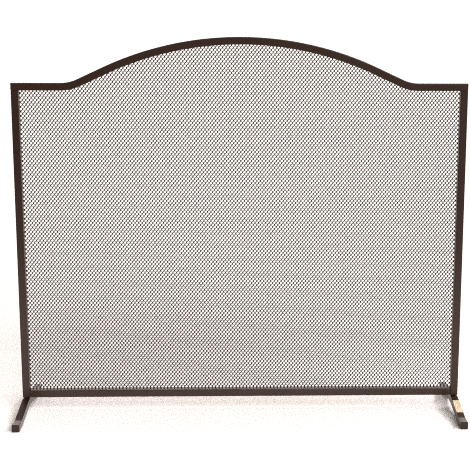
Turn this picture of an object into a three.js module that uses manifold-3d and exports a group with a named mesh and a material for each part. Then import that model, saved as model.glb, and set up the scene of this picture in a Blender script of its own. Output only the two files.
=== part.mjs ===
// A single-panel fireplace screen. A frame of square steel tube with an arched top rail
// carries a panel of woven wire mesh, clamped to the frame's back by flat strips and
// screws. The frame stands on two arched feet of the same tube, one bolted under each
// stile.
//
// Millimetres, +Z up, front towards -Y. The origin is on the floor, under the middle of
// the screen.

import * as THREE from 'three';
import { mergeVertices } from 'three/addons/utils/BufferGeometryUtils.js';
import Module from 'manifold-3d';

const wasm = await Module();
wasm.setup();

// Driving dimensions

const FRAME_WIDTH = 965;
const CORNER_HEIGHT = 691.5; // of the frame at its two top corners
const ARCH_RISE = 96.5; // of the crown above the corners
const CROWN_RADIUS = 690; // these two radii and the slope are those of the rail's top face
const SHOULDER_RADIUS = 80;
const ARCH_SLOPE = THREE.MathUtils.degToRad(24.9);

const BAR = 15.9; // the square tube, for the frame and the feet alike
const WALL = 1.5;
const EDGE = 1.4; // the tube's rounded corners

const FOOT_LENGTH = 254;
const FOOT_CREST = 28; // length of the foot's level top, under the stile
const TOE_LENGTH = 29; // level, on the floor
const FOOT_BEND_RADIUS = 60;
const FOOT_TOP = 31.3;
const CAP_THICKNESS = 2;
const CAP_DEPTH = 12; // how far the cap's plug reaches into the tube

const MESH_THICKNESS = 3.2;
const MESH_INSET = 3; // of the panel's edge from the frame's outline

const STRIP_WIDTH = 12.7;
const STRIP_THICKNESS = 2;

const SCREW = { radius: 1.75, headRadius: 3.4, headHeight: 2.1, reach: 1.8 };
const SCREWS_ACROSS = 5; // in the top strip, and in the bottom strip
const SCREWS_UPWARDS = 4; // in each side strip
const SCREW_END_DISTANCE = 55; // from the frame's outline to the last screw
const BOLT = { radius: 3, acrossFlats: 10, headHeight: 4, length: 31 };
const WASHER = { radius: 6, thickness: 1.5 };
const NUT_BLOCK_HEIGHT = 16;

const LABEL = { width: 15, length: 50, thickness: 0.4, near: 29 }; // near: from the foot's middle

const FIT = 0.3; // gap between pieces that touch
const CHORD_ERROR = 0.1; // furthest that a facet may lie from the true curve

// Derived dimensions

const HALF_WIDTH = FRAME_WIDTH / 2;
const HALF_BAR = BAR / 2;
const FRAME_BOTTOM = FOOT_TOP + FIT + WASHER.thickness + FIT;
const CORNER_TOP = FRAME_BOTTOM + CORNER_HEIGHT;
const STILE_X = HALF_WIDTH - HALF_BAR;
const STRIP_EDGE = (BAR - STRIP_WIDTH) / 2; // between the strip's edge and the tube's
const MESH_FRONT = HALF_BAR + FIT;
const STRIP_FRONT = MESH_FRONT + MESH_THICKNESS + FIT;
const STRIP_BACK = STRIP_FRONT + STRIP_THICKNESS;

// Materials

const finish = (color, roughness, metalness) =>
  new THREE.MeshStandardMaterial({ color, roughness, metalness });
const bronzePaint = finish(0x3a2d27, 0.45, 0.3);
const meshPaint = finish(0x2a2422, 0.5, 0.3);
const blackPlastic = finish(0x1c1a19, 0.55, 0);
const blackZinc = finish(0x2c2a2a, 0.35, 0.8);
const paper = finish(0xf0e6cc, 0.8, 0);

// Solids

function solidFrom(geometry) {
  const bare = geometry.clone();
  bare.deleteAttribute('normal');
  bare.deleteAttribute('uv');
  const merged = mergeVertices(bare, 1e-4);
  return new wasm.Manifold(new wasm.Mesh({
    numProp: 3,
    vertProperties: new Float32Array(merged.attributes.position.array),
    triVerts: new Uint32Array(merged.index.array),
  }));
}

function geometryFrom(solid) {
  const { vertProperties, triVerts } = solid.getMesh();
  const geometry = new THREE.BufferGeometry();
  geometry.setAttribute('position', new THREE.BufferAttribute(vertProperties, 3));
  geometry.setIndex(new THREE.BufferAttribute(triVerts, 1));
  geometry.computeVertexNormals();
  return geometry;
}

function cutFrom(geometry, tools) {
  const left = tools.reduce((solid, tool) => solid.subtract(solidFrom(tool)), solidFrom(geometry));
  return geometryFrom(left);
}

// A cylinder along +Y or +Z, from `start` to `end` on that axis.
function rod(axis, radius, [x, y, z], start, end, sides = 12) {
  const geometry = new THREE.CylinderGeometry(radius, radius, end - start, sides);
  geometry.translate(0, (start + end) / 2, 0);
  if (axis === 'z') geometry.rotateX(Math.PI / 2);
  return geometry.translate(x, y, z);
}

// Outlines

// A line through `corners`, each [u, v, radius], with an arc of that radius at every corner.
// It gives points and their left-hand normals, so that a parallel line is one offset away.
function roundedLine(corners) {
  const points = corners.map(([u, v]) => new THREE.Vector2(u, v));
  const normalTo = (direction) => new THREE.Vector2(-direction.y, direction.x);
  const direction = (i) => points[i + 1].clone().sub(points[i]).normalize();
  const line = [{ at: points[0], normal: normalTo(direction(0)) }];
  for (let i = 1; i < points.length - 1; i++) {
    const [before, after, radius] = [direction(i - 1), direction(i), corners[i][2]];
    const turn = Math.atan2(before.cross(after), before.dot(after));
    const steps = Math.ceil(Math.abs(turn) / (2 * Math.acos(1 - CHORD_ERROR / radius)));
    const start = points[i].clone().addScaledVector(before, -radius * Math.tan(Math.abs(turn) / 2));
    const centre = start.clone().addScaledVector(normalTo(before), Math.sign(turn) * radius);
    for (let step = 0; step <= steps; step++) {
      const angle = (turn * step) / steps;
      const normal = normalTo(before).rotateAround(new THREE.Vector2(), angle);
      line.push({ at: start.clone().rotateAround(centre, angle), normal });
    }
  }
  const last = points.length - 1;
  line.push({ at: points[last], normal: normalTo(direction(last - 1)) });
  return line;
}

// The parallel line that runs `drop` below the given one.
function lineBelow(line, drop) {
  return line.map(({ at, normal }) => at.clone().addScaledVector(normal, -drop));
}

// The band between two such parallel lines.
function band(line, upper, lower) {
  return new THREE.Shape([...lineBelow(line, lower), ...lineBelow(line, upper).reverse()]);
}

// The top rail's top face, from -end to +end, left to right.
function archLine(end) {
  const apex = ARCH_RISE + CROWN_RADIUS * (1 / Math.cos(ARCH_SLOPE) - 1);
  const shoulder = apex / Math.tan(ARCH_SLOPE);
  return roundedLine([
    [-end, CORNER_TOP],
    [-shoulder, CORNER_TOP, SHOULDER_RADIUS],
    [0, CORNER_TOP + apex, CROWN_RADIUS],
    [shoulder, CORNER_TOP, SHOULDER_RADIUS],
    [end, CORNER_TOP],
  ]);
}

// The foot's top face, from -end to +end, front to back.
function footLine(end) {
  const toe = FOOT_LENGTH / 2 - TOE_LENGTH;
  const crest = FOOT_CREST / 2;
  return roundedLine([
    [-end, BAR],
    [-toe, BAR, FOOT_BEND_RADIUS],
    [-crest, FOOT_TOP, FOOT_BEND_RADIUS],
    [crest, FOOT_TOP, FOOT_BEND_RADIUS],
    [toe, BAR, FOOT_BEND_RADIUS],
    [end, BAR],
  ]);
}

function rectangle(left, bottom, right, top) {
  return new THREE.Shape([[left, bottom], [right, bottom], [right, top], [left, top]]
    .map(([u, v]) => new THREE.Vector2(u, v)));
}

function roundedSquare(side, radius) {
  const [h, c] = [side / 2, side / 2 - radius];
  const shape = new THREE.Shape().moveTo(-c, -h);
  shape.absarc(c, -c, radius, -Math.PI / 2, 0);
  shape.absarc(c, c, radius, 0, Math.PI / 2);
  shape.absarc(-c, c, radius, Math.PI / 2, Math.PI);
  shape.absarc(-c, -c, radius, Math.PI, 1.5 * Math.PI);
  return shape;
}

// Extrusions. The three planes' outlines are (x, z), (y, z) and (x, y).

function plate(shape, thickness, edge = 0) {
  return new THREE.ExtrudeGeometry(shape, {
    depth: thickness - 2 * edge,
    bevelEnabled: edge > 0,
    bevelThickness: edge,
    bevelSize: edge,
    bevelOffset: -edge,
    bevelSegments: 2,
  }).translate(0, 0, edge);
}

// An (x, z) outline, `thickness` deep, from y = front backwards.
function facing(shape, front, thickness, edge) {
  return plate(shape, thickness, edge).rotateX(Math.PI / 2).translate(0, front + thickness, 0);
}

// A (y, z) outline, `thickness` wide, centred on x = 0.
function sideways(shape, thickness, edge) {
  return plate(shape, thickness, edge).rotateX(Math.PI / 2).rotateZ(Math.PI / 2)
    .translate(-thickness / 2, 0, 0);
}

// An (x, y) outline along +Z, from z = 0, with square ends.
function extrude(shape, length) {
  return new THREE.ExtrudeGeometry(shape, { depth: length, bevelEnabled: false, curveSegments: 1 });
}

// A straight length of the square tube along +Z, from z = 0.
function tube(length) {
  const section = roundedSquare(BAR, EDGE);
  const half = HALF_BAR - WALL;
  section.holes.push(rectangle(-half, -half, half, half));
  return extrude(section, length);
}

// Where the screws go, as [x, z], all on the middle of the tube's back face

function archHeightAt(x) {
  const middle = lineBelow(archLine(HALF_WIDTH), HALF_BAR);
  const next = middle.findIndex((point) => point.x > x);
  const [a, b] = [middle[next - 1], middle[next]];
  return THREE.MathUtils.mapLinear(x, a.x, b.x, a.y, b.y);
}

function spread(count, from, to) {
  return Array.from({ length: count }, (_, i) => from + ((to - from) * i) / (count - 1));
}

const ACROSS = spread(SCREWS_ACROSS, SCREW_END_DISTANCE - HALF_WIDTH, HALF_WIDTH - SCREW_END_DISTANCE);
const UPWARDS = spread(SCREWS_UPWARDS, FRAME_BOTTOM + SCREW_END_DISTANCE, CORNER_TOP - SCREW_END_DISTANCE);
const SCREW_PLACES = {
  top: ACROSS.map((x) => [x, archHeightAt(x)]),
  bottom: ACROSS.map((x) => [x, FRAME_BOTTOM + HALF_BAR]),
  left: UPWARDS.map((z) => [-STILE_X, z]),
  right: UPWARDS.map((z) => [STILE_X, z]),
};

function screwHoles(places, start, end) {
  return places.map(([x, z]) => rod('y', SCREW.radius + FIT, [x, 0, z], start, end));
}

const holesInTube = (places) => screwHoles(places, HALF_BAR - 2 * WALL, HALF_BAR + WALL);
const holesBehind = (places) => screwHoles(places, 0, 2 * STRIP_BACK);

// Sub-parts

const screen = new THREE.Group();

function addPiece(parent, name, geometry, material, [x, y, z] = [0, 0, 0]) {
  const mesh = new THREE.Mesh(geometry, material);
  mesh.name = name;
  mesh.position.set(x, y, z);
  parent.add(mesh);
}

// The top rail is bent tube with its ends welded shut. Its hollow opens at the screw holes.
function topRail() {
  const outside = facing(band(archLine(HALF_WIDTH), 0, BAR), -HALF_BAR, BAR, EDGE);
  const hollow = band(archLine(HALF_WIDTH - WALL), WALL, BAR - WALL);
  const inside = facing(hollow, WALL - HALF_BAR, BAR - 2 * WALL);
  return cutFrom(outside, [inside, ...holesInTube(SCREW_PLACES.top)]);
}

function stile(side) {
  const places = SCREW_PLACES[side].map(([, z]) => [0, z - FRAME_BOTTOM]);
  return cutFrom(tube(CORNER_HEIGHT - BAR - FIT), holesInTube(places));
}

function bottomRail() {
  const half = HALF_WIDTH - BAR - FIT;
  const places = SCREW_PLACES.bottom.map(([x]) => [x, 0]);
  const lying = tube(2 * half).rotateY(Math.PI / 2).translate(-half, 0, 0);
  return cutFrom(lying, holesInTube(places));
}

// The woven panel's own envelope: the outline that its wires fill.
function meshPanel() {
  const edge = HALF_WIDTH - MESH_INSET;
  const bottom = FRAME_BOTTOM + MESH_INSET;
  const outline = new THREE.Shape([
    new THREE.Vector2(-edge, bottom),
    new THREE.Vector2(edge, bottom),
    ...lineBelow(archLine(edge), MESH_INSET).reverse(),
  ]);
  const places = Object.values(SCREW_PLACES).flat();
  return cutFrom(facing(outline, MESH_FRONT, MESH_THICKNESS), holesBehind(places));
}

// One flat strip behind each side of the mesh panel.
function strip(side) {
  const outer = HALF_WIDTH - STRIP_EDGE;
  const inner = outer - STRIP_WIDTH;
  const low = FRAME_BOTTOM + STRIP_EDGE;
  const high = CORNER_TOP - STRIP_EDGE - STRIP_WIDTH - FIT;
  const outlines = {
    top: () => band(archLine(outer), STRIP_EDGE, STRIP_EDGE + STRIP_WIDTH),
    bottom: () => rectangle(FIT - inner, low, inner - FIT, low + STRIP_WIDTH),
    left: () => rectangle(-outer, low, -inner, high),
    right: () => rectangle(inner, low, outer, high),
  };
  return cutFrom(facing(outlines[side](), STRIP_FRONT, STRIP_THICKNESS), holesBehind(SCREW_PLACES[side]));
}

// A pan-head screw along Y. Its head bears on the strip, and its tip is inside the tube.
function screw() {
  const { radius, headRadius, headHeight, reach } = SCREW;
  const tip = HALF_BAR - WALL - reach;
  const under = STRIP_BACK + FIT;
  const top = under + headHeight;
  const profile = [
    [0, tip],
    [radius, tip + radius],
    [radius, under],
    [headRadius, under],
    [headRadius, under + headHeight / 2],
    [0.7 * headRadius, top],
    [0, top],
  ];
  return new THREE.LatheGeometry(profile.map(([r, y]) => new THREE.Vector2(r, y)), 10);
}

// An arched foot: bent tube, open at both toes, drilled for its bolt.
function foot() {
  const end = FOOT_LENGTH / 2 - CAP_THICKNESS - FIT;
  const outside = sideways(band(footLine(end), 0, BAR), BAR, EDGE);
  const hollow = sideways(band(footLine(FOOT_LENGTH), WALL, BAR - WALL), BAR - 2 * WALL);
  return cutFrom(outside, [hollow, rod('z', BOLT.radius + FIT, [0, 0, 0], 0, 2 * FOOT_TOP)]);
}

// A block that fits inside the tube, from z = low to z = high.
function tubeFiller(low, high) {
  const side = BAR - 2 * WALL - 2 * FIT;
  return new THREE.BoxGeometry(side, side, high - low).translate(0, 0, (low + high) / 2);
}

// A plastic cap: a cover as wide as the tube, and a plug that fits inside it. It faces -Y.
function toeCap() {
  const cover = extrude(roundedSquare(BAR, EDGE), CAP_THICKNESS);
  const plug = tubeFiller(-CAP_DEPTH, CAP_THICKNESS / 2);
  return geometryFrom(solidFrom(cover).add(solidFrom(plug))).rotateX(Math.PI / 2);
}

function washer() {
  const ring = new THREE.CylinderGeometry(WASHER.radius, WASHER.radius, WASHER.thickness, 16)
    .rotateX(Math.PI / 2)
    .translate(0, 0, WASHER.thickness / 2);
  return cutFrom(ring, [rod('z', BOLT.radius + FIT, [0, 0, 0], -BAR, BAR)]);
}

// A hexagon bolt along +Z, with the underside of its head at z = 0.
function bolt() {
  const headRadius = BOLT.acrossFlats / Math.sqrt(3);
  const head = rod('z', headRadius, [0, 0, 0], -BOLT.headHeight, 0, 6);
  const shank = rod('z', BOLT.radius, [0, 0, 0], -BOLT.headHeight / 2, BOLT.length);
  return geometryFrom(solidFrom(head).add(solidFrom(shank)));
}

// The block welded inside the stile's lower end, which takes the foot's bolt.
function nutBlock() {
  const bore = rod('z', BOLT.radius + FIT, [0, 0, 0], -BAR, 2 * NUT_BLOCK_HEIGHT);
  return cutFrom(tubeFiller(0, NUT_BLOCK_HEIGHT), [bore]);
}

// A blank paper label lying on the foot's front slope.
function label() {
  const slope = Math.atan2(FOOT_TOP - BAR, FOOT_LENGTH / 2 - TOE_LENGTH - FOOT_CREST / 2);
  const middle = -LABEL.near - LABEL.length / 2;
  const height = FOOT_TOP + (middle + FOOT_CREST / 2) * Math.tan(slope);
  return new THREE.BoxGeometry(LABEL.width, LABEL.length, LABEL.thickness)
    .translate(0, 0, FIT + LABEL.thickness / 2)
    .rotateX(slope)
    .translate(0, middle, height);
}

// Assembly

addPiece(screen, 'top_rail', topRail(), bronzePaint);
addPiece(screen, 'left_stile', stile('left'), bronzePaint, [-STILE_X, 0, FRAME_BOTTOM]);
addPiece(screen, 'right_stile', stile('right'), bronzePaint, [STILE_X, 0, FRAME_BOTTOM]);
addPiece(screen, 'bottom_rail', bottomRail(), bronzePaint, [0, 0, FRAME_BOTTOM + HALF_BAR]);
addPiece(screen, 'mesh_panel', meshPanel(), meshPaint);

for (const [side, places] of Object.entries(SCREW_PLACES)) {
  addPiece(screen, `${side}_strip`, strip(side), bronzePaint);
  places.forEach(([x, z], i) => {
    addPiece(screen, `${side}_strip_screw_${i + 1}`, screw(), blackZinc, [x, 0, z]);
  });
}

for (const [side, sign] of [['left', -1], ['right', 1]]) {
  const stand = new THREE.Group();
  stand.position.x = sign * STILE_X;
  screen.add(stand);
  addPiece(stand, `${side}_foot`, foot(), bronzePaint);
  addPiece(stand, `${side}_foot_bolt`, bolt(), blackZinc, [0, 0, FOOT_TOP - BAR - FIT]);
  addPiece(stand, `${side}_foot_washer`, washer(), blackZinc, [0, 0, FOOT_TOP + FIT]);
  addPiece(stand, `${side}_nut_block`, nutBlock(), blackZinc, [0, 0, FRAME_BOTTOM + FIT]);
  for (const [end, turn] of [['front', 0], ['rear', Math.PI]]) {
    const holder = new THREE.Group();
    holder.rotation.z = turn;
    stand.add(holder);
    const place = [0, CAP_THICKNESS - FOOT_LENGTH / 2, HALF_BAR];
    addPiece(holder, `${side}_${end}_toe_cap`, toeCap(), blackPlastic, place);
  }
  if (side === 'right') addPiece(stand, 'foot_label', label(), paper);
}

export default screen;
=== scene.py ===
# %% [markdown]
# # A fireplace screen
#
# This lesson gives looks to a single-panel fireplace screen: a frame of square steel tube with an
# arched top rail, a panel of woven wire behind it, and two arched feet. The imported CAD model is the
# fixed frame that everything is measured from. Lengths are in metres, with the front towards -Y.

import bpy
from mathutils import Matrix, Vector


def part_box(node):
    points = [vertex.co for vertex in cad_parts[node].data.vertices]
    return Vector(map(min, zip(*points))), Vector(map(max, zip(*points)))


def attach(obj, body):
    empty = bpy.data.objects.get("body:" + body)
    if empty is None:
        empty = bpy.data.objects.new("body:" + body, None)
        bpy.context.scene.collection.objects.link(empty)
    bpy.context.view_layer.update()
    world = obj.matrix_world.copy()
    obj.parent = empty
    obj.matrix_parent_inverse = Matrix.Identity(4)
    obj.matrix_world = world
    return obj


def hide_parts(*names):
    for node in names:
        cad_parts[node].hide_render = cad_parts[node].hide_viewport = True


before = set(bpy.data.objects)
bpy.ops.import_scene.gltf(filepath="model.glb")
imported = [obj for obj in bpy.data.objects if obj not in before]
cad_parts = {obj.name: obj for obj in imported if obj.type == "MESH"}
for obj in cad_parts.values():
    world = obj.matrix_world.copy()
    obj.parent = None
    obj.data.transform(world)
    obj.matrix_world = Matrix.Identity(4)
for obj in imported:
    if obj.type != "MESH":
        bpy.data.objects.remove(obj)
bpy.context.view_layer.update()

# %% Libraries and units
import bpy
import math

import numpy as np
from mathutils import Matrix, Vector

MM = 0.001

# %% [markdown]
# ## The camera
#
# The camera stands 2.26 m in front of the screen, a little higher than its crown, and looks down on
# it slightly. A long lens from there keeps the uprights nearly parallel. Tilting the camera further
# would centre the object too, but then the uprights would lean together, so a small shift of the lens
# does it, as in a studio.

# %% Camera
CAMERA_PLACE = Vector((8.1, -2258.7, 863.2)) * MM
TURN_RIGHT = 0.0266
TILT_DOWN = 0.178
ROLL = 0.0032

lens = bpy.data.cameras.new("studio_lens")
lens.sensor_width = 36
lens.lens = 81.45
lens.shift_x = -0.0798
lens.shift_y = -0.0576
camera = bpy.data.objects.new("studio_camera", lens)
aim = Matrix.Rotation(-TURN_RIGHT, 4, "Z") @ Matrix.Rotation(math.pi / 2 - TILT_DOWN, 4, "X")
camera.matrix_world = Matrix.Translation(CAMERA_PLACE) @ aim @ Matrix.Rotation(ROLL, 4, "Z")
bpy.context.scene.collection.objects.link(camera)
bpy.context.scene.camera = camera
print(f"camera: {-CAMERA_PLACE.y:.2f} m in front, {math.degrees(TILT_DOWN):.0f} degrees down")

# %% [markdown]
# ## The studio
#
# The screen stands on a white sweep that is lit until it burns out. A studio does that with a long
# strip light on the right, a soft light by the camera and white walls around, all slightly warm, so
# that the shadows turn beige while the open floor stays white. Lamps could be area lights, but those
# fall off over the sweep. Suns don't, so here each lamp is a soft sun, and the walls are the world.

# %% Helper: colours and nodes
def linear(code):
    """The linear RGBA of an sRGB hex colour."""
    channels = [int(code[i : i + 2], 16) / 255 for i in (0, 2, 4)]
    return [c / 12.92 if c <= 0.04045 else ((c + 0.055) / 1.055) ** 2.4 for c in channels] + [1.0]


def add_node(tree, kind, inputs=None, **settings):
    """Adds a node, sets its settings, and gives its inputs their values or links."""
    node = tree.nodes.new(kind)
    for name, value in settings.items():
        setattr(node, name, value)
    for name, value in (inputs or {}).items():
        if isinstance(value, bpy.types.NodeSocket):
            tree.links.new(value, node.inputs[name])
        else:
            node.inputs[name].default_value = value
    return node


def start_finish(name):
    """An empty material, and its node tree."""
    material = bpy.data.materials.new(name)
    material.use_nodes = True
    material.node_tree.nodes.clear()
    return material, material.node_tree


def end_finish(tree, surface):
    """Sends a shader to the material's surface."""
    add_node(tree, "ShaderNodeOutputMaterial", {"Surface": surface.outputs[0]})


# %% [markdown]
# ## The floor
#
# Seamless matt white paper lies under the screen and far behind it. It could curve up into a wall, but
# a flat sheet that runs 45 m back looks the same, and nothing but paper is behind the woven panel. In
# front it ends after 1.3 m, because the gloss of the front faces should find the dark room there. Just
# behind the panel its white drops to a light grey, which is a painted shade, so that the thin wires
# stand out against it.

# %% Floor
FLOOR_FRONT = 1.3
FLOOR_BACK = 45
WHITE_UNTIL = 0.15
PAINTED_SHADE_FULL_FROM = 0.5

floor_finish, tree = start_finish("matt_white_paper_sweep")
place = add_node(tree, "ShaderNodeTexCoord").outputs["Object"]
backwards = add_node(tree, "ShaderNodeSeparateXYZ", {"Vector": place}).outputs["Y"]
# Painted shade: the paper's colour is white up to 0.15 m behind the screen and light grey from 0.5 m back.
white = add_node(tree, "ShaderNodeValToRGB", {"Fac": backwards})
white.color_ramp.elements[0].position = WHITE_UNTIL
white.color_ramp.elements[0].color = linear("f4f4f4")
white.color_ramp.elements[1].position = PAINTED_SHADE_FULL_FROM
white.color_ramp.elements[1].color = linear("dfdfdf")
end_finish(tree, add_node(tree, "ShaderNodeBsdfDiffuse", {"Color": white.outputs["Color"]}))

floor_corners = [
    (-FLOOR_FRONT, -FLOOR_FRONT, 0),
    (FLOOR_FRONT, -FLOOR_FRONT, 0),
    (FLOOR_BACK, FLOOR_BACK, 0),
    (-FLOOR_BACK, FLOOR_BACK, 0),
]
floor_mesh = bpy.data.meshes.new("studio_floor")
floor_mesh.from_pydata(floor_corners, [], [(0, 1, 2, 3)])
floor_mesh.materials.append(floor_finish)
studio_floor = bpy.data.objects.new("studio_floor", floor_mesh)
bpy.context.scene.collection.objects.link(studio_floor)
print(f"floor: {FLOOR_FRONT} m in front of the screen, {FLOOR_BACK} m behind it")

# %% [markdown]
# ## The lamps
#
# A strip light is long one way and narrow the other. A sun is always round, so a row of six suns
# stands for the strip. The row reaches from well in front of the screen to just past its own plane, so
# the woven shadow falls behind the panel, and each foot gets a clear one on its left. A second lamp
# near the camera fills the dark front faces. It is high enough that their gloss throws its reflection
# to the floor. A third, high over the panel's back, lifts the strip of floor below the bottom rail.

# %% Helper: soft suns
WARM_WHITE = linear("fff4ee")


def soft_sun(name, towards, angle, energy, colour=WARM_WHITE):
    """A far lamp that stands in the direction `towards` and looks `angle` degrees wide."""
    lamp = bpy.data.lights.new(name, "SUN")
    lamp.angle = math.radians(angle)
    lamp.energy = energy
    lamp.color = colour[:3]
    holder = bpy.data.objects.new(name, lamp)
    holder.rotation_euler = Vector(towards).to_track_quat("Z", "Y").to_euler()
    bpy.context.scene.collection.objects.link(holder)


# %% Lamps
KEY_LAMPS = 6
KEY_FIRST = -50
KEY_LAST = 6
KEY_ELEVATION = math.radians(42)
KEY_ENERGY = 3.1
KEY_COLOUR = linear("fff9f6")

for i, azimuth in enumerate(np.radians(np.linspace(KEY_FIRST, KEY_LAST, KEY_LAMPS))):
    towards = (math.cos(azimuth), math.sin(azimuth), math.tan(KEY_ELEVATION))
    soft_sun(f"strip_light_{i + 1}", towards, angle=11, energy=KEY_ENERGY / KEY_LAMPS, colour=KEY_COLOUR)
soft_sun("front_light", towards=(0.35, -1, 0.6), angle=35, energy=2.2)
soft_sun("back_light", towards=(0.1, 0.35, 1.5), angle=30, energy=0.6)

# %% [markdown]
# ## The walls
#
# What the paint mirrors matters as much as what lights it. A picture of a room could be wrapped round
# the scene, but three gradients are enough: the sweep behind and beside the object is bright, the
# camera's side of the room is dark, a little less so on the right, and so is the ceiling. What the
# camera itself sees is one even white, so that no horizon shows through the woven panel.

# %% White world
FRONT_LEFT_GLOW = 0.15
FRONT_RIGHT_GLOW = 0.5
SWEEP_GLOW = 2.8
CEILING_SHARE = 0.15
SEEN_GLOW = 1.4

world = bpy.data.worlds.new("white_studio")
world.use_nodes = True
tree = world.node_tree
tree.nodes.clear()
direction = add_node(tree, "ShaderNodeTexCoord").outputs["Generated"]
axes = add_node(tree, "ShaderNodeSeparateXYZ", {"Vector": direction})
front = add_node(
    tree,
    "ShaderNodeMapRange",
    {
        "Value": axes.outputs["X"],
        "From Min": -0.5,
        "From Max": 0.5,
        "To Min": FRONT_LEFT_GLOW,
        "To Max": FRONT_RIGHT_GLOW,
    },
)
sweep = add_node(
    tree,
    "ShaderNodeMapRange",
    {
        "Value": axes.outputs["Y"],
        "From Min": -0.35,
        "From Max": 0.25,
        "To Min": front.outputs["Result"],
        "To Max": SWEEP_GLOW,
    },
    interpolation_type="SMOOTHSTEP",
)
ceiling = add_node(
    tree,
    "ShaderNodeMapRange",
    {"Value": axes.outputs["Z"], "From Min": 0.3, "From Max": 0.5, "To Min": 1.0, "To Max": CEILING_SHARE},
    interpolation_type="SMOOTHSTEP",
)
room = add_node(
    tree,
    "ShaderNodeMath",
    {0: sweep.outputs["Result"], 1: ceiling.outputs["Result"]},
    operation="MULTIPLY",
)
seen = add_node(tree, "ShaderNodeLightPath").outputs["Is Camera Ray"]
strength = add_node(
    tree, "ShaderNodeMapRange", {"Value": seen, "To Min": room.outputs[0], "To Max": SEEN_GLOW}
)
sky = add_node(
    tree, "ShaderNodeBackground", {"Color": WARM_WHITE, "Strength": strength.outputs["Result"]}
)
add_node(tree, "ShaderNodeOutputWorld", {"Surface": sky.outputs["Background"]})
bpy.context.scene.world = world
print("world nodes:", len(tree.nodes))

# %% Film
# The weave is as fine as noise, and a denoiser takes it for that, so the image isn't denoised. Its
# filter is a little narrower than usual, which keeps the strands apart.
FILTER_WIDTH = 1.1
bpy.context.scene.view_settings.view_transform = "Standard"
bpy.context.scene.cycles.use_denoising = False
bpy.context.scene.cycles.filter_width = FILTER_WIDTH
print("image filter:", FILTER_WIDTH)

# %% [markdown]
# ## The finishes
#
# Almost everything here is steel, and what the eye meets is what covers the steel. The tube is powder
# coated, the woven wire is painted, the small fixings are black zinc, the toe caps are moulded
# plastic and the label is paper. Each finish is built from what it is really made of: a base colour
# with the small unevenness of the process, and the usual index of refraction and roughness.
#
# ### Satin powder coat on steel
#
# Polyester powder is sprayed on dry and melted in an oven. It gives the eye a dark bronze-brown skin
# with a soft sheen that drifts a little, a faint orange-peel ripple about 1.5 mm across, and fine
# specks where darker grains didn't flow out. The ripple could be real geometry, but it is so shallow
# that a bump does.

# %% Finish: satin powder coat
POWDER_RIPPLE = 1.5 * MM
POWDER_SPECK = 0.6 * MM
# The sheen drifts with the passes of the spray gun, about nine of them to a metre.
POWDER_HAZE = 1000 / 9 * MM

powder_coat, tree = start_finish("satin_bronze_powder_coat")
place = add_node(tree, "ShaderNodeTexCoord").outputs["Object"]
ripple = add_node(tree, "ShaderNodeTexNoise", {"Vector": place, "Scale": 1 / POWDER_RIPPLE, "Detail": 1.0})
speck = add_node(tree, "ShaderNodeTexNoise", {"Vector": place, "Scale": 1 / POWDER_SPECK, "Detail": 3.0})
haze = add_node(tree, "ShaderNodeTexNoise", {"Vector": place, "Scale": 1 / POWDER_HAZE, "Detail": 4.0})
brown = add_node(tree, "ShaderNodeValToRGB", {"Fac": speck.outputs["Fac"]})
brown.color_ramp.elements[0].position = 0.35
brown.color_ramp.elements[0].color = linear("22150f")
brown.color_ramp.elements[1].position = 0.65
brown.color_ramp.elements[1].color = linear("352218")
sheen = add_node(
    tree,
    "ShaderNodeMapRange",
    {"Value": haze.outputs["Fac"], "To Min": 0.25, "To Max": 0.33},
)
relief = add_node(
    tree,
    "ShaderNodeBump",
    {"Height": ripple.outputs["Fac"], "Strength": 0.25, "Distance": 0.05 * MM},
)
coat = add_node(
    tree,
    "ShaderNodeBsdfPrincipled",
    {
        "Base Color": brown.outputs["Color"],
        "Roughness": sheen.outputs[0],
        "Metallic": 0.3,
        "IOR": 1.5,
        "Normal": relief.outputs["Normal"],
    },
)
end_finish(tree, coat)

# %% [markdown]
# ### Heat paint on woven wire
#
# The panel is low-carbon steel wire, sprayed with a thin brown-black heat paint after weaving. It gives
# the eye a dull, uneven dark skin, in blotches about 12 mm across. Each knot's own runs of paint could
# be drawn too, but they are far too small to show, so one coarse noise is enough.

# %% Finish: heat paint
PAINT_BLOTCH = 12 * MM

wire_paint, tree = start_finish("brown_black_heat_paint")
place = add_node(tree, "ShaderNodeTexCoord").outputs["Object"]
blotch = add_node(tree, "ShaderNodeTexNoise", {"Vector": place, "Scale": 1 / PAINT_BLOTCH, "Detail": 4.0})
dark = add_node(tree, "ShaderNodeValToRGB", {"Fac": blotch.outputs["Fac"]})
dark.color_ramp.elements[0].position = 0.3
dark.color_ramp.elements[0].color = linear("1a120e")
dark.color_ramp.elements[1].position = 0.7
dark.color_ramp.elements[1].color = linear("2a1d16")
paint = add_node(
    tree,
    "ShaderNodeBsdfPrincipled",
    {"Base Color": dark.outputs["Color"], "Metallic": 0.3, "Roughness": 0.6, "IOR": 1.5},
)
end_finish(tree, paint)

# %% [markdown]
# ### Black zinc plating
#
# The screws, bolts and washers are zinc plated steel, dipped in a bath that turns the zinc black. That
# gives the eye a dark metal with a faint olive and blue-grey cloud. It could pass for dark paint, but
# its reflections are tinted as a metal's are, so it is fully metallic and keeps the default index of
# refraction.

# %% Finish: black zinc plating
ZINC_CLOUD = 2.5 * MM

black_zinc, tree = start_finish("black_passivated_zinc")
place = add_node(tree, "ShaderNodeTexCoord").outputs["Object"]
cloud = add_node(tree, "ShaderNodeTexNoise", {"Vector": place, "Scale": 1 / ZINC_CLOUD, "Detail": 3.0})
tint = add_node(tree, "ShaderNodeValToRGB", {"Fac": cloud.outputs["Fac"]})
tint.color_ramp.elements[0].position = 0.35
tint.color_ramp.elements[0].color = linear("2b2b28")
tint.color_ramp.elements[1].position = 0.65
tint.color_ramp.elements[1].color = linear("3c3d42")
plating = add_node(
    tree,
    "ShaderNodeBsdfPrincipled",
    {"Base Color": tint.outputs["Color"], "Metallic": 1.0, "Roughness": 0.34},
)
end_finish(tree, plating)

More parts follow.
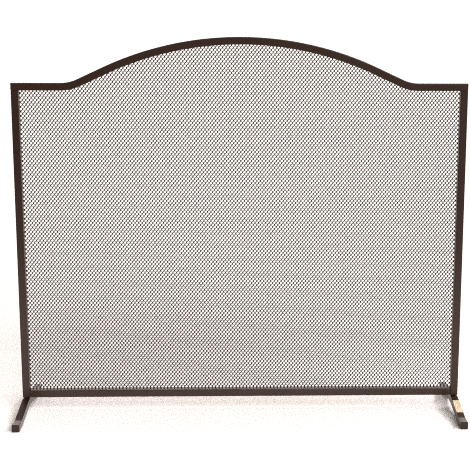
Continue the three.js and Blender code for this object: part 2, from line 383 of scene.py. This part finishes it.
# %% [markdown]
# ### Moulded polyethylene
#
# The toe caps are injection moulded from black polyethylene in a spark-eroded mould. It gives the eye a
# soft brown-black with a matt grain about 0.25 mm across and broad, faint flow marks. Its shine is
# weaker than that of paint. More roughness would also hide it, but would make the caps paler, so the
# specular level is lowered instead.

# %% Finish: moulded polyethylene
MOULD_GRAIN = 0.25 * MM
FLOW_MARK = 8 * MM

cap_plastic, tree = start_finish("moulded_black_polyethylene")
place = add_node(tree, "ShaderNodeTexCoord").outputs["Object"]
grain = add_node(tree, "ShaderNodeTexNoise", {"Vector": place, "Scale": 1 / MOULD_GRAIN, "Detail": 1.0})
smear = add_node(tree, "ShaderNodeTexNoise", {"Vector": place, "Scale": 1 / FLOW_MARK, "Detail": 2.0})
shade = add_node(tree, "ShaderNodeValToRGB", {"Fac": smear.outputs["Fac"]})
shade.color_ramp.elements[0].color = linear("1c120d")
shade.color_ramp.elements[1].color = linear("2b1d16")
relief = add_node(
    tree, "ShaderNodeBump", {"Height": grain.outputs["Fac"], "Strength": 0.4, "Distance": 0.03 * MM}
)
plastic = add_node(
    tree,
    "ShaderNodeBsdfPrincipled",
    {
        "Base Color": shade.outputs["Color"],
        "Roughness": 0.5,
        "IOR": 1.51,
        "Specular IOR Level": 0.3,
        "Normal": relief.outputs["Normal"],
    },
)
end_finish(tree, plastic)

# %% [markdown]
# ### Uncoated label paper
#
# The label is cream paper, whose fibres give the eye a slight mottle. The real one carries print, but
# words don't belong on a shared part. A blank label would look unfinished, so this one has rows of
# faded brown dashes that say nothing: a wave makes the rows, and a noise breaks them up.

# %% Finish: uncoated label paper
PAPER_FIBRE = 0.8 * MM
PRINT_ROW = 4.5 * MM
PRINT_PATCH = 3 * MM
# A wave texture of scale 1 repeats after this many metres.
WAVE_PERIOD = 2 * math.pi / 20

label_paper, tree = start_finish("uncoated_cream_paper")
place = add_node(tree, "ShaderNodeTexCoord").outputs["Object"]
fibre = add_node(tree, "ShaderNodeTexNoise", {"Vector": place, "Scale": 1 / PAPER_FIBRE, "Detail": 5.0})
cream = add_node(tree, "ShaderNodeValToRGB", {"Fac": fibre.outputs["Fac"]})
cream.color_ramp.elements[0].color = linear("cfc0a2")
cream.color_ramp.elements[1].color = linear("e0d6bc")
rows = add_node(
    tree, "ShaderNodeTexWave", {"Vector": place, "Scale": WAVE_PERIOD / PRINT_ROW}, bands_direction="Y"
)
patches = add_node(tree, "ShaderNodeTexNoise", {"Vector": place, "Scale": 1 / PRINT_PATCH, "Detail": 0.0})
both = add_node(
    tree, "ShaderNodeMath", {0: rows.outputs["Fac"], 1: patches.outputs["Fac"]}, operation="MULTIPLY"
)
ink = add_node(tree, "ShaderNodeMapRange", {"Value": both.outputs[0], "From Min": 0.4, "From Max": 0.5})
printed = add_node(
    tree,
    "ShaderNodeMix",
    {"Factor": ink.outputs["Result"], "A": cream.outputs["Color"], "B": linear("8a6444")},
    data_type="RGBA",
)
relief = add_node(
    tree, "ShaderNodeBump", {"Height": fibre.outputs["Fac"], "Strength": 0.3, "Distance": 0.03 * MM}
)
paper = add_node(
    tree,
    "ShaderNodeBsdfPrincipled",
    {
        "Base Color": printed.outputs["Result"],
        "Roughness": 0.75,
        "IOR": 1.5,
        "Normal": relief.outputs["Normal"],
    },
)
end_finish(tree, paper)

FINISHES = {
    "frame_powder_coat": powder_coat,
    "mesh_paint": wire_paint,
    "black_zinc": black_zinc,
    "cap_plastic": cap_plastic,
    "label_paper": label_paper,
}
print("finishes:", [m.name for m in FINISHES.values()])

# %% [markdown]
# ## Lofting
#
# Tube, strip, cap, bolt and washer are all one kind of shape: a section carried along a line. So one
# helper joins a row of rings with quads. A hollow tube is the same thing with rings that go out along
# the outside and come back along the bore. Weighted normals then keep the flat faces flat and let the
# small rounded corners roll over smoothly.

# %% Helper: pieces from rings
SHARP_ANGLE = math.radians(40)


def add_piece(name, slot, mesh, replaced):
    """Puts a mesh in the scene as a piece that rides on the one rigid body."""
    mesh.materials.clear()
    mesh.materials.append(FINISHES[slot])
    piece = bpy.data.objects.new(name, mesh)
    bpy.context.scene.collection.objects.link(piece)
    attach(piece, "root")
    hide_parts(replaced)
    return piece


def loft(name, rings, hollow=False):
    """A mesh through rings of equally many points. A hollow one closes on itself, others get flat ends."""
    count = len(rings[0])
    points = [p for ring in rings for p in ring]
    spans = len(rings) if hollow else len(rings) - 1
    faces = []
    for i in range(spans):
        a = i * count
        b = (i + 1) % len(rings) * count
        for j in range(count):
            k = (j + 1) % count
            faces.append((a + j, a + k, b + k, b + j))
    if not hollow:
        faces.append(tuple(reversed(range(count))))
        faces.append(tuple(range(len(points) - count, len(points))))
    mesh = bpy.data.meshes.new(name)
    mesh.from_pydata(points, [], faces)
    mesh.shade_smooth()
    mesh.set_sharp_from_angle(angle=SHARP_ANGLE)
    return mesh


def keep_flats_flat(piece):
    """Weights each corner's normal by its faces' areas, so that wide flat faces win."""
    modifier = piece.modifiers.new("flat_faces", "WEIGHTED_NORMAL")
    modifier.keep_sharp = True
    modifier.weight = 100
    return piece


# %% Helper: sections and lines
CORNER_STEPS = 5
ARC_ERROR = 0.02 * MM


def rounded_box(width, height, radius):
    """A rectangle's points with rounded corners, as (across, up) pairs."""
    section = []
    for quarter in range(4):
        across = (width / 2 - radius) * (1 if quarter in (0, 3) else -1)
        up = (height / 2 - radius) * (1 if quarter in (0, 1) else -1)
        for step in range(CORNER_STEPS + 1):
            angle = (quarter + step / CORNER_STEPS) * math.pi / 2
            section.append((across + radius * math.cos(angle), up + radius * math.sin(angle)))
    return section


def rounded_line(corners):
    """Points and left-hand normals of a line through (u, v, radius) corners, with fine arcs."""
    points = [Vector(c[:2]) for c in corners]
    ways = [(b - a).normalized() for a, b in zip(points, points[1:])]
    line = [(points[0], ways[0].orthogonal())]
    for i in range(1, len(points) - 1):
        radius = corners[i][2]
        before = ways[i - 1]
        turn = math.atan2(before.cross(ways[i]), before.dot(ways[i]))
        start = points[i] - before * radius * math.tan(abs(turn) / 2)
        side = before.orthogonal()
        centre = start + side * math.copysign(radius, turn)
        steps = math.ceil(abs(turn) / (2 * math.acos(1 - ARC_ERROR / radius)))
        for step in range(steps + 1):
            spin = Matrix.Rotation(turn * step / steps, 2)
            line.append((centre + spin @ (start - centre), spin @ side))
    line.append((points[-1], ways[-1].orthogonal()))
    return line


def carry(section, line, place):
    """The section's rings along a line, where place(u, v, across) gives the point in the room."""
    rings = []
    for at, normal in line:
        rings.append([place(*(at + normal * up), across) for across, up in section])
    return rings


print("points in a section:", 4 * (CORNER_STEPS + 1))

# %% [markdown]
# ## The frame's tube
#
# The real frame is 5/8 inch square tube with a 1.5 mm wall. The top rail is one length, bent in two
# shoulders and a long crown, with its ends welded shut. It runs over the stiles, which are butted to
# it from below and welded, as the bottom rail is between them. Each tube is lofted along its own
# middle line, and its sizes come from the CAD nodes. Only the wall, the edges and the bends are given
# here. A curve with a bevel would make a tube's skin as well, but not its wall and its bore.

# %% Sizes from the frame
rail_low, rail_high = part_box("top_rail")
stile_low, stile_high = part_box("left_stile")
bottom_low, bottom_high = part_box("bottom_rail")
foot_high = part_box("left_foot")[1]
BAR = rail_high.y - rail_low.y
HALF_BAR = BAR / 2
WALL = 1.5 * MM
EDGE = 1.4 * MM
BORE_EDGE = 0.3 * MM
HALF_WIDTH = rail_high.x
STILE_X = HALF_WIDTH - HALF_BAR
CORNER_TOP = rail_low.z + BAR
ARCH_RISE = rail_high.z - CORNER_TOP
CROWN_RADIUS = 690 * MM
SHOULDER_RADIUS = 80 * MM
ARCH_SLOPE = math.radians(24.9)
print(f"tube {BAR / MM:.1f} mm, width {2 * HALF_WIDTH / MM:.0f} mm, rise {ARCH_RISE / MM:.1f} mm")


# %% Lines of the top rail and the feet
def arch_line(end, drop):
    """The line that runs `drop` under the top rail's top face, from -end to +end."""
    apex = ARCH_RISE + CROWN_RADIUS * (1 / math.cos(ARCH_SLOPE) - 1)
    shoulder = apex / math.tan(ARCH_SLOPE)
    top = rounded_line(
        [
            (-end, CORNER_TOP),
            (-shoulder, CORNER_TOP, SHOULDER_RADIUS),
            (0, CORNER_TOP + apex, CROWN_RADIUS),
            (shoulder, CORNER_TOP, SHOULDER_RADIUS),
            (end, CORNER_TOP),
        ]
    )
    return [(at - normal * drop, normal) for at, normal in top]


FOOT_TOP = foot_high.z
# The crest is the level stretch under the stile, and a toe is the level stretch on the floor.
CREST = 28 * MM
TOE = 29 * MM
FOOT_BEND_RADIUS = 60 * MM
FOOT_REACH = -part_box("left_front_toe_cap")[0].y


def foot_line(end, drop):
    """The line that runs `drop` under the foot's top face, front to back."""
    toe = FOOT_REACH - TOE
    top = rounded_line(
        [
            (-end, BAR),
            (-toe, BAR, FOOT_BEND_RADIUS),
            (-CREST / 2, FOOT_TOP, FOOT_BEND_RADIUS),
            (CREST / 2, FOOT_TOP, FOOT_BEND_RADIUS),
            (toe, BAR, FOOT_BEND_RADIUS),
            (end, BAR),
        ]
    )
    return [(at - normal * drop, normal) for at, normal in top]


def upright(u, v, across):
    """A point of the frame, whose lines lie in the x-z plane."""
    return (u, across, v)


print("top rail line:", len(arch_line(HALF_WIDTH, HALF_BAR)), "points")


# %% Helper: tubes
TUBE_SECTION = rounded_box(BAR, BAR, EDGE)
BORE_SECTION = rounded_box(BAR - 2 * WALL, BAR - 2 * WALL, BORE_EDGE)
END_ROUND = 0.5 * MM


def softened_ends(section, line, place):
    """Rings whose first and last sections are a little smaller, so that no end is knife-sharp."""
    shrink = 1 - 2 * END_ROUND / BAR
    smaller = [(across * shrink, up * shrink) for across, up in section]
    first, first_up = line[0]
    last, last_up = line[-1]
    inward = (line[1][0] - first).normalized() * END_ROUND
    outward = (last - line[-2][0]).normalized() * END_ROUND
    body = [(first + inward, first_up), *line[1:-1], (last - outward, last_up)]
    start = carry(smaller, [line[0]], place)
    return start + carry(section, body, place) + carry(smaller, [line[-1]], place)


def tube(name, line, place):
    """A hollow square tube along a middle line, replacing the CAD node of the same name."""
    outside = softened_ends(TUBE_SECTION, line, place)
    bore = carry(BORE_SECTION, line, place)
    mesh = loft(name, outside + bore[::-1], hollow=True)
    return keep_flats_flat(add_piece(f"{name}_tube", "frame_powder_coat", mesh, name))


# %% Top rail, stiles and bottom rail
rail_rings = softened_ends(TUBE_SECTION, arch_line(HALF_WIDTH, HALF_BAR), upright)
rail = add_piece("top_rail_tube", "frame_powder_coat", loft("top_rail", rail_rings), "top_rail")
keep_flats_flat(rail)

for side, sign in (("left", -1), ("right", 1)):
    ends = [(sign * STILE_X, stile_low.z), (sign * STILE_X, stile_high.z)]
    tube(f"{side}_stile", rounded_line(ends), upright)

middle = bottom_low.z + HALF_BAR
tube("bottom_rail", rounded_line([(bottom_low.x, middle), (bottom_high.x, middle)]), upright)

# %% [markdown]
# ## The woven wire
#
# The panel is woven from flattened wire spirals that stand side by side, each hooked into the next,
# so that their strands draw diamonds. Every spiral's front strands lean one way and its back strands
# the other. A picture of diamonds on a plane would look flat from the side, so the wires are real:
# one zigzag with three points round each bend, repeated over the panel and cut off at the frame.

# %% Wire sizes
# The real wire is about 1.2 mm thick. The back strands are drawn at that size. The front strands are
# drawn thicker, because so fine a wire would melt into the white behind it, and because on the real
# panel the strands that lean to the right look the heavier ones. The bends are in between.
DIAMOND_WIDTH = 7.64 * MM
DIAMOND_HEIGHT = 9.65 * MM
FRONT_RADIUS = 0.95 * MM
BACK_RADIUS = 0.6 * MM
BEND_RADIUS = 0.8 * MM
# Five sides are enough for so thin a wire.
WIRE_SIDES = 5
panel_low, panel_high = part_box("mesh_panel")
SPIRAL_WIDTH = DIAMOND_WIDTH / 2
FRONT_Y = panel_low.y + FRONT_RADIUS
BACK_Y = panel_high.y - BACK_RADIUS
MIDDLE_Y = (FRONT_Y + BACK_Y) / 2
# Two hooked bends pass each other with 3 % of their thickness to spare.
HOOK = BEND_RADIUS * 1.03
# Next to a bend, each strand ends this far above or below it, and this far short of its reach.
BEND_RISE = 0.75 * MM
BEND_INSET = 0.25 * MM
PANEL_INSET = HALF_WIDTH - panel_high.x
SPIRALS = math.floor((panel_high.x - panel_low.x - 2 * BEND_RADIUS - 2 * HOOK) / SPIRAL_WIDTH)
print(f"{SPIRALS} spirals, with a turn every {DIAMOND_HEIGHT / MM:.2f} mm")
print(f"strands {2 * FRONT_RADIUS / MM:.1f} mm in front, {2 * BACK_RADIUS / MM:.1f} mm behind")


# %% Helper: one spiral's path and its skin
def spiral_path(left, first_bend, top):
    """Points and radii of one flattened spiral whose left bends are at x = left, up to height top."""
    right = left + SPIRAL_WIDTH
    turn = [
        (left - HOOK + BEND_INSET, BACK_Y, -BEND_RISE, BACK_RADIUS),
        (left - HOOK, MIDDLE_Y, 0, BEND_RADIUS),
        (left - HOOK + BEND_INSET, FRONT_Y, BEND_RISE, FRONT_RADIUS),
        (right + HOOK - BEND_INSET, FRONT_Y, DIAMOND_HEIGHT / 2 - BEND_RISE, FRONT_RADIUS),
        (right + HOOK, MIDDLE_Y, DIAMOND_HEIGHT / 2, BEND_RADIUS),
        (right + HOOK - BEND_INSET, BACK_Y, DIAMOND_HEIGHT / 2 + BEND_RISE, BACK_RADIUS),
    ]
    turns = math.ceil((top - panel_low.z) / DIAMOND_HEIGHT) + 2
    path = np.array(turn)[None] + np.arange(turns)[:, None, None] * [0, 0, DIAMOND_HEIGHT, 0]
    path = path.reshape(-1, 4) + [0, 0, first_bend, 0]
    inside = (path[:, 2] > panel_low.z + FRONT_RADIUS) & (path[:, 2] < top - FRONT_RADIUS)
    return path[inside]


def wire_skin(path):
    """A wire's points and faces, round a path that carries its radii and never runs along X."""
    middle = path[:, :3]
    ways = np.gradient(middle, axis=0)
    ways /= np.linalg.norm(ways, axis=1)[:, None]
    first = np.array([1.0, 0, 0]) - ways[:, :1] * ways
    first /= np.linalg.norm(first, axis=1)[:, None]
    second = np.cross(ways, first)
    angles = np.arange(WIRE_SIDES) * 2 * math.pi / WIRE_SIDES
    ring = np.cos(angles)[:, None] * first[:, None] + np.sin(angles)[:, None] * second[:, None]
    points = (middle[:, None] + path[:, 3, None, None] * ring).reshape(-1, 3)
    row = np.arange(len(path) - 1)[:, None] * WIRE_SIDES
    a = np.arange(WIRE_SIDES)
    b = (a + 1) % WIRE_SIDES
    quads = np.stack([row + a, row + b, row + b + WIRE_SIDES, row + a + WIRE_SIDES], axis=-1)
    return points, quads.reshape(-1, 4)


# %% Weave the panel
# Eight meshes side by side make the panel, so that none is too heavy to edit. Every second spiral
# starts half a diamond lower, so that its bends meet its neighbours'.
SECTIONS = 8
outline = arch_line(panel_high.x, PANEL_INSET)
outline_x = [at.x for at, _ in outline]
outline_z = [at.y for at, _ in outline]
first_left = -SPIRALS * SPIRAL_WIDTH / 2

for section in range(SECTIONS):
    all_points = []
    all_quads = []
    all_ends = []
    base = 0
    for spiral in range(section * SPIRALS // SECTIONS, (section + 1) * SPIRALS // SECTIONS):
        left = first_left + spiral * SPIRAL_WIDTH
        offset = panel_low.z + (spiral % 2 - 1) * DIAMOND_HEIGHT / 2
        top = min(np.interp([left - HOOK, left + SPIRAL_WIDTH + HOOK], outline_x, outline_z))
        points, quads = wire_skin(spiral_path(left, offset, top))
        all_points.append(points)
        all_quads.append(quads + base)
        all_ends.append(base + np.arange(WIRE_SIDES)[::-1])
        base += len(points)
        all_ends.append(base - WIRE_SIDES + np.arange(WIRE_SIDES))
    mesh = bpy.data.meshes.new(f"woven_wire_{section + 1}")
    faces = np.concatenate(all_quads).tolist() + np.array(all_ends).tolist()
    mesh.from_pydata(np.concatenate(all_points).tolist(), [], faces)
    mesh.shade_smooth()
    add_piece(f"woven_wire_{section + 1}", "mesh_paint", mesh, "mesh_panel")
    print(mesh.name, len(mesh.polygons), "faces")

# %% [markdown]
# ## The clamping strips
#
# Four flat steel strips hold the wire panel against the frame's back. They were sheared from sheet,
# with their edges tumbled to a small radius, and the top one follows the arch. A flat outline could
# be given thickness and bevelled, but the arch's line is already there, so a strip is the same loft
# as a tube, with a flat section.

# %% Strips
STRIP_EDGE = 0.4 * MM
strip_low, strip_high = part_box("left_strip")
STRIP_WIDTH = strip_high.x - strip_low.x
STRIP_THICKNESS = strip_high.y - strip_low.y
STRIP_MIDDLE = (strip_low.y + strip_high.y) / 2
STRIP_SECTION = rounded_box(STRIP_THICKNESS, STRIP_WIDTH, STRIP_EDGE)


def strip(name, line):
    """A flat strip behind the panel, along its own middle line."""
    rings = carry(STRIP_SECTION, line, lambda u, v, across: (u, STRIP_MIDDLE + across, v))
    mesh = loft(name, rings)
    return keep_flats_flat(add_piece(f"{name}_flat", "frame_powder_coat", mesh, name))


strip("top_strip", arch_line(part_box("top_strip")[1].x, HALF_BAR))
for name in ("left_strip", "right_strip"):
    low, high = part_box(name)
    strip(name, rounded_line([((low.x + high.x) / 2, low.z), ((low.x + high.x) / 2, high.z)]))
low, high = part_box("bottom_strip")
strip("bottom_strip", rounded_line([(low.x, (low.z + high.z) / 2), (high.x, (low.z + high.z) / 2)]))
print(f"four strips, {STRIP_WIDTH / MM:.1f} x {STRIP_THICKNESS / MM:.1f} mm")

# %% [markdown]
# ## The screws
#
# Eighteen pan-head screws hold the strips. A turned part could be spun from a profile, but here it is
# one more loft, of circles. The cross recess is cut with a Boolean by a small tapered cross. The thread
# is a row of rings: at this size a true helix looks the same. One mesh serves all eighteen screws, and
# no holes are cut for them, because the heads cover the places.

# %% Helper: turned shapes
ROUND = 32


def circle(radius, along, sides=ROUND):
    """A ring about the Z axis."""
    angles = [2 * math.pi * i / sides for i in range(sides)]
    return [(radius * math.cos(a), radius * math.sin(a), along) for a in angles]


def turned(name, profile, hollow=False):
    """A lathe shape about Z, through (radius, height) pairs."""
    return loft(name, [circle(radius, along) for radius, along in profile], hollow)


def evaluated(piece):
    """The piece's mesh with its modifiers applied."""
    depsgraph = bpy.context.evaluated_depsgraph_get()
    return bpy.data.meshes.new_from_object(piece.evaluated_get(depsgraph))


# %% Screw sizes
screw_low, screw_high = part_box("left_strip_screw_1")
SCREW_LENGTH = screw_high.y - screw_low.y
HEAD_RADIUS = (screw_high.z - screw_low.z) / 2
HEAD_HEIGHT = 2.1 * MM
# The dome, as shares of the head's radius and height.
DOME = [(0.995, 0.3), (0.96, 0.55), (0.86, 0.78), (0.7, 0.92), (0.45, 0.985), (0.1, 1.0)]
UNDER_HEAD = 0.96
SHANK_RADIUS = 1.75 * MM
SHANK_TIP = 0.1 * MM
SCREW_PITCH = 1.2 * MM
SCREW_ROOT = 0.82
RECESS_REACH = 1.9 * MM
RECESS_WIDTH = 0.9 * MM
RECESS_DEPTH = 1.3 * MM
# The driver bit's size at its tip and just over the head, as shares of the recess.
BIT_TIP = 0.45
BIT_TOP = 1.15
BIT_OVER = 0.5 * MM
print(f"screw: {SCREW_LENGTH / MM:.1f} mm long, head {2 * HEAD_RADIUS / MM:.1f} mm across")


# %% Helper: one screw
def cross(scale, along):
    """A plus-shaped ring with twelve corners."""
    reach = RECESS_REACH * scale
    half = RECESS_WIDTH / 2 * scale
    corner = [(reach, -half), (reach, half), (half, half)]
    turns = [Matrix.Rotation(i * math.pi / 2, 2) for i in range(4)]
    return [(*(turn @ Vector(c)), along) for turn in turns for c in corner]


def screw_blank():
    """A pan head without its recess, and a pointed shank with a ring for each turn of thread."""
    under = SCREW_LENGTH - HEAD_HEIGHT
    profile = [(SHANK_TIP, 0)]
    along = SHANK_RADIUS
    while along < under - SCREW_PITCH:
        profile += [(SHANK_RADIUS * SCREW_ROOT, along), (SHANK_RADIUS, along + SCREW_PITCH / 2)]
        along += SCREW_PITCH
    profile += [(SHANK_RADIUS, under), (HEAD_RADIUS * UNDER_HEAD, under)]
    profile += [(HEAD_RADIUS * radius, under + HEAD_HEIGHT * height) for radius, height in DOME]
    return turned("screw_blank", profile)


def screw_mesh():
    """The blank with its cross recess cut."""
    bottom = cross(BIT_TIP, SCREW_LENGTH - RECESS_DEPTH)
    top = cross(BIT_TOP, SCREW_LENGTH + BIT_OVER)
    solid = bpy.data.objects.new("screw_blank", screw_blank())
    tool = bpy.data.objects.new("driver_bit", loft("driver_bit", [bottom, top]))
    for thing in (solid, tool):
        bpy.context.scene.collection.objects.link(thing)
    cut = solid.modifiers.new("recess", "BOOLEAN")
    cut.operation = "DIFFERENCE"
    cut.object = tool
    mesh = evaluated(solid)
    for thing in (solid, tool):
        bpy.data.objects.remove(thing)
    mesh.shade_smooth()
    mesh.set_sharp_from_angle(angle=SHARP_ANGLE)
    mesh.name = "pan_head_screw"
    return mesh


# %% Screws
# Each screw stopped at its own angle. A turn that grows with the place gives every one another angle.
TURN_PER_BAR = 2.4

pan_head = screw_mesh()
towards_back = Matrix.Rotation(-math.pi / 2, 4, "X")
screw_nodes = [name for name in sorted(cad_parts) if "_screw_" in name]
for name in screw_nodes:
    low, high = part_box(name)
    centre = (low + high) / 2
    piece = add_piece(f"{name}_pan_head", "black_zinc", pan_head, name)
    spin = Matrix.Rotation(len(name) + TURN_PER_BAR * (centre.x + centre.z) / BAR, 4, "Y")
    piece.matrix_world = Matrix.Translation((centre.x, low.y, centre.z)) @ spin @ towards_back
print(len(screw_nodes), "screws, with", len(pan_head.polygons), "faces each")

# %% [markdown]
# ## The feet
#
# Each foot is one length of the same tube, bent to a low arch. It could be bent from a straight mesh
# with a modifier, but its line is known, so it is lofted along that, as the rails are.

# %% Feet
FOOT_END = foot_high.y

for side, sign in (("left", -1), ("right", 1)):
    tube(
        f"{side}_foot",
        foot_line(FOOT_END, HALF_BAR),
        lambda u, v, across, sign=sign: (sign * STILE_X + across, u, v),
    )
print(f"feet: {2 * FOOT_REACH / MM:.0f} mm long with their caps")

# %% [markdown]
# ## The toe caps
#
# A moulded cap closes each toe: a flat cover with rounded rims, and a plug whose ribs grip the bore. A
# bevelled box would do for what shows, but the plug is as easy, because the whole cap is a loft of
# square rings that grow and shrink on their way in.

# %% Toe cap sizes
CAP_COVER = 2 * MM
PLUG = BAR - 2 * WALL - 0.6 * MM
PLUG_CORE = PLUG - 0.8 * MM
PLUG_TIP = PLUG - 1.6 * MM
RIBS = 3
RIB_FIRST = 1.5 * MM
RIB_STEP = 3.2 * MM
RIB_RISE = 0.4 * MM
RIB_LENGTH = 1.8 * MM
# The cover's rings, as sizes and distances from its face.
COVER_RINGS = [
    (BAR - 1.6 * MM, 0),
    (BAR - 0.7 * MM, 0.2 * MM),
    (BAR, 0.8 * MM),
    (BAR, CAP_COVER - 0.3 * MM),
    (BAR - 0.6 * MM, CAP_COVER),
]
print(f"cap: {BAR / MM:.1f} mm square, plug {PLUG / MM:.1f} mm square")


# %% Toe caps
def toe_cap(name):
    """One cap, whose cover faces away from the stile."""
    low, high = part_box(name)
    middle = (low.x + high.x) / 2
    face = low.y if abs(low.y) > abs(high.y) else high.y
    inward = math.copysign(1, -face)
    stations = [*COVER_RINGS, (PLUG_CORE, CAP_COVER)]
    for rib in range(RIBS):
        start = CAP_COVER + RIB_FIRST + RIB_STEP * rib
        stations += [(PLUG_CORE, start), (PLUG, start + RIB_RISE), (PLUG_CORE, start + RIB_LENGTH)]
    stations.append((PLUG_TIP, high.y - low.y))
    rings = []
    for size, along in stations:
        section = rounded_box(size, size, EDGE * size / BAR)
        rings.append([(middle + across, face + inward * along, HALF_BAR + up) for across, up in section])
    piece = add_piece(f"{name}_moulding", "cap_plastic", loft(name, rings), name)
    return keep_flats_flat(piece)


for side in ("left", "right"):
    for end in ("front", "rear"):
        toe_cap(f"{side}_{end}_toe_cap")
print("toe caps: four, with", RIBS, "ribs each")

# %% [markdown]
# ## The bolts and washers
#
# One hexagon bolt comes up through each foot into a block inside the stile, and a washer keeps the two
# tubes apart, which shows as a dark line. A ready-made bolt mesh could be loaded, but both are lofts
# again: the bolt's head is a ring of a hexagon's radii between circles, and its thread is a row of
# rings, as on the screws. The blocks are out of sight, so they keep their CAD shape.

# %% Bolt and washer sizes
BOLT_RADIUS = 3 * MM
BOLT_HEAD = 4 * MM
BOLT_PLAIN = 12 * MM
BOLT_PITCH = 1 * MM
# The thread's root and the shank's tip, as shares of the shank's radius.
BOLT_ROOT = 0.83
BOLT_TIP = 0.8
BOLT_SIDES = 48
# The head's round end faces, as a share of its width across the flats, and its bevels.
BOLT_CIRCLE = 0.95
BOLT_RIM = 0.2 * MM
BOLT_CHAMFER = math.radians(30)
WASHER_BORE = 3.3 * MM
WASHER_EDGE = 0.3 * MM
print(f"bolt: {2 * BOLT_RADIUS / MM:.0f} mm, washer bore: {2 * WASHER_BORE / MM:.1f} mm")


# %% Bolts, washers and nut blocks
def stand_on(piece, low, high):
    """Moves a piece that was made about Z to the middle of a box's lower side."""
    piece.matrix_world = Matrix.Translation(((low.x + high.x) / 2, (low.y + high.y) / 2, low.z))


def hexagon(across_flats, angle):
    """A hexagon's radius at an angle."""
    return across_flats / 2 / math.cos((angle + math.pi / 6) % (math.pi / 3) - math.pi / 6)


def bolt(name):
    """A hexagon bolt that points up: a chamfered head, a plain shank and a thread."""
    low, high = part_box(name)
    flats = high.x - low.x
    inner = flats / 2 * BOLT_CIRCLE
    rim = BOLT_HEAD - BOLT_RIM
    lower = []
    upper = []
    for i in range(BOLT_SIDES):
        angle = 2 * math.pi * i / BOLT_SIDES
        radius = hexagon(flats, angle)
        across = (radius * math.cos(angle), radius * math.sin(angle))
        lower.append((*across, max(0, radius - inner) * math.tan(BOLT_CHAMFER)))
        upper.append((*across, rim))
    rings = [circle(inner, 0, BOLT_SIDES), lower, upper]
    thread_start = BOLT_HEAD + BOLT_PLAIN
    profile = [(inner, rim), (inner, BOLT_HEAD), (BOLT_RADIUS, BOLT_HEAD), (BOLT_RADIUS, thread_start)]
    length = high.z - low.z
    along = thread_start
    while along < length - 2 * BOLT_PITCH:
        profile += [(BOLT_RADIUS * BOLT_ROOT, along + BOLT_PITCH / 2), (BOLT_RADIUS, along + BOLT_PITCH)]
        along += BOLT_PITCH
    profile.append((BOLT_RADIUS * BOLT_TIP, length))
    rings += [circle(radius, height, BOLT_SIDES) for radius, height in profile]
    stand_on(add_piece(f"{name}_hexagon", "black_zinc", loft(name, rings), name), low, high)


def washer(name):
    """A flat washer with tumbled edges."""
    low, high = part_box(name)
    outer = (high.x - low.x) / 2
    thickness = high.z - low.z
    profile = [
        (WASHER_BORE, WASHER_EDGE),
        (WASHER_BORE + WASHER_EDGE, 0),
        (outer - WASHER_EDGE, 0),
        (outer, WASHER_EDGE),
        (outer, thickness - WASHER_EDGE),
        (outer - WASHER_EDGE, thickness),
        (WASHER_BORE + WASHER_EDGE, thickness),
        (WASHER_BORE, thickness - WASHER_EDGE),
    ]
    mesh = turned(name, profile, hollow=True)
    stand_on(add_piece(f"{name}_ring", "black_zinc", mesh, name), low, high)


for side in ("left", "right"):
    bolt(f"{side}_foot_bolt")
    washer(f"{side}_foot_washer")
    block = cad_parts[f"{side}_nut_block"]
    block.data.materials.clear()
    block.data.materials.append(black_zinc)
print("bolts and washers placed, nut blocks given their finish")

# %% [markdown]
# ## The label
#
# A paper label is stuck on the right foot's front slope. It could be painted into the tube's finish,
# but it is a sheet with an edge of its own. Here it is as thick as card, so that it stays a sound
# solid, and it follows the slope's line, so it is a loft too.

# %% Label
LABEL_THICKNESS = 0.4 * MM
LABEL_EDGE = 0.1 * MM
LABEL_LIFT = 0.05 * MM
LABEL_STEPS = 24

label_low, label_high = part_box("foot_label")
LABEL_WIDTH = label_high.x - label_low.x
label_x = (label_low.x + label_high.x) / 2
label_section = rounded_box(LABEL_WIDTH, LABEL_THICKNESS, LABEL_EDGE)
slope_line = foot_line(FOOT_END, -LABEL_LIFT - LABEL_THICKNESS / 2)
slope_u = [at.x for at, _ in slope_line]
slope_v = [at.y for at, _ in slope_line]
slope_tilt = [math.atan2(-normal.x, normal.y) for _, normal in slope_line]
label_line = []
for u in np.linspace(label_low.y + LABEL_EDGE, label_high.y - LABEL_EDGE, LABEL_STEPS):
    tilt = float(np.interp(u, slope_u, slope_tilt))
    at = Vector((u, float(np.interp(u, slope_u, slope_v))))
    label_line.append((at, Vector((-math.sin(tilt), math.cos(tilt)))))
label_rings = carry(label_section, label_line, lambda u, v, across: (label_x + across, u, v))
label = add_piece("foot_label_paper", "label_paper", loft("foot_label", label_rings), "foot_label")
keep_flats_flat(label)
print(f"label: {LABEL_WIDTH / MM:.0f} mm wide")
